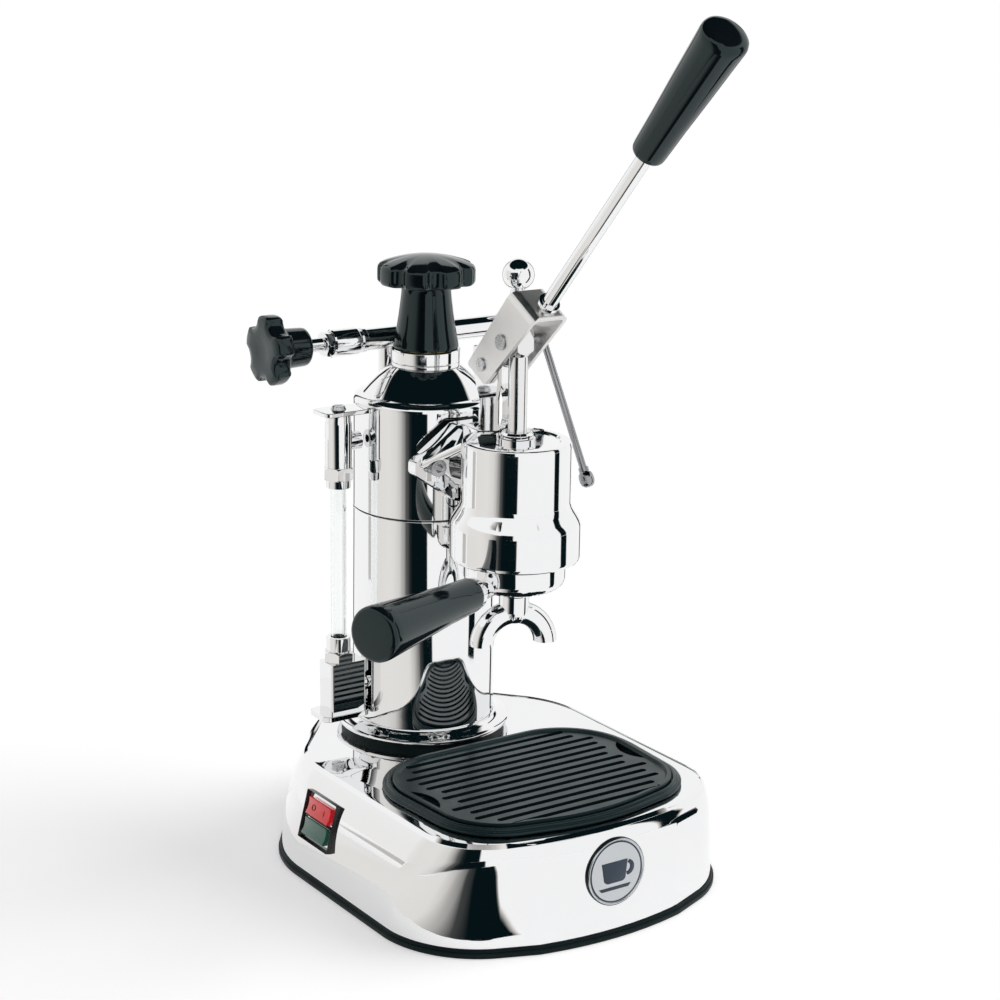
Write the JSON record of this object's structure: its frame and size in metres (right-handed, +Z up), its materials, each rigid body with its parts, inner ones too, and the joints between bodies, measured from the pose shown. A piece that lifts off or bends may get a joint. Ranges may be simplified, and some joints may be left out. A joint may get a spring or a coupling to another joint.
{
  "type": "lever espresso machine",
  "caption": "Chrome lever espresso machine: upright boiler with sight glass and steam wand, group with hand lever and portafilter, and a drip tray on its base.",
  "frame": {"origin": "on the boiler axis, at the underside of the bottom plate, where the machine stands on the table", "axes": "+X to the right of the machine, -Y out of its front, +Z up along the boiler axis"},
  "size_m": [0.2191, 0.3312, 0.4648],
  "materials": {
    "chrome": "polished",
    "steel": "satin",
    "brass": "satin",
    "black_plastic": "gloss",
    "tray_plastic": "satin",
    "rubber": "matte",
    "clear_glass": "clear",
    "red_lens": "gloss",
    "green_lens": "gloss",
    "blue_enamel": "gloss",
    "gasket": "matte"
  },
  "bodies": {
    "machine": {"base_shell": "chrome", "base_trim": "rubber", "bottom_plate": "tray_plastic", "plate_screws": "steel", "badge_disc": "chrome", "badge_emblem": "blue_enamel", "switch_bezel": "black_plastic", "cable_gland": "rubber", "boiler_flange": "chrome", "flange_seal": "rubber", "boiler_lower": "chrome", "boiler_upper": "chrome", "boiler_seal": "rubber", "boiler_nut": "brass", "heating_element": "steel", "neck_collar": "chrome", "gauge_top_plate": "chrome", "gauge_screws": "steel", "gauge_fittings": "chrome", "gauge_nuts": "chrome", "gauge_glass": "clear_glass", "gauge_seals": "rubber", "gauge_bottom_plate": "chrome", "steam_manifold": "chrome", "steam_gland_nut": "chrome", "safety_valve": "chrome", "wand_nut": "chrome", "group_body": "chrome", "group_bolts": "steel", "flange_gasket": "rubber", "cylinder_sleeve": "brass", "rod_gland": "chrome", "shower_screen": "steel", "group_gasket": "rubber"},
    "cap": {"cap_knob": "black_plastic", "cap_plug": "brass", "cap_gasket": "gasket"},
    "steam_valve": {"steam_spindle": "chrome", "steam_knob": "black_plastic"},
    "wand": {"steam_wand": "chrome", "wand_tip": "chrome"},
    "tray": {"drip_tray": "tray_plastic"},
    "grille": {"drip_grille": "tray_plastic"},
    "power_switch": {"power_rocker": "red_lens"},
    "heat_switch": {"heat_rocker": "green_lens"},
    "piston_unit": {"piston_rod": "chrome", "piston": "brass", "piston_seals": "rubber"},
    "lever": {"lever_fork": "chrome", "lever_rod": "chrome", "lever_grip": "black_plastic", "lever_pins": "steel", "pin_rollers": "steel"},
    "portafilter": {"portafilter_body": "chrome", "handle_ferrule": "chrome", "portafilter_handle": "black_plastic", "filter_basket": "steel", "basket_spring": "steel", "double_spout": "chrome"}
  },
  "joints": [
    {"name": "piston_slide", "type": "slide", "parent": "machine", "child": "piston_unit", "axis": [0, 0, 1], "range_m": [-0.0158, 0.0071]},
    {"name": "lever_swing", "type": "hinge", "parent": "piston_unit", "child": "lever", "pos_m": [0, -0.088, 0.2938], "axis": [1, 0, 0], "range_deg": [-20, 45]},
    {"name": "portafilter_turn", "type": "hinge", "parent": "machine", "child": "portafilter", "pos_m": [0, -0.088, 0.176], "axis": [0, 0, 1], "range_deg": [0, 65]},
    {"name": "cap_lift", "type": "slide", "parent": "machine", "child": "cap", "axis": [0, 0, 1], "range_m": [0, 0.06]},
    {"name": "steam_knob_turn", "type": "hinge", "parent": "machine", "child": "steam_valve", "pos_m": [-0.07, 0.0254, 0.2765], "axis": [1, 0, 0], "range_deg": [0, 360]},
    {"name": "wand_swivel", "type": "hinge", "parent": "machine", "child": "wand", "pos_m": [0.085, 0.0254, 0.2765], "axis": [1, 0, 0], "range_deg": [-55, 60]},
    {"name": "tray_lift", "type": "slide", "parent": "machine", "child": "tray", "axis": [0, 0, 1], "range_m": [0, 0.035]},
    {"name": "grille_lift", "type": "slide", "parent": "tray", "child": "grille", "axis": [0, 0, 1], "range_m": [0, 0.02]},
    {"name": "power_rock", "type": "hinge", "parent": "machine", "child": "power_switch", "pos_m": [-0.09371, -0.048, 0.0414], "axis": [0, -1, 0], "range_deg": [0, 8]},
    {"name": "heat_rock", "type": "hinge", "parent": "machine", "child": "heat_switch", "pos_m": [-0.0964, -0.048, 0.0306], "axis": [0, -1, 0], "range_deg": [0, 8]}
  ],
  "couplings": [
    {"joint": "piston_slide", "follows": "lever_swing", "m_per_rad": -0.02}
  ]
}
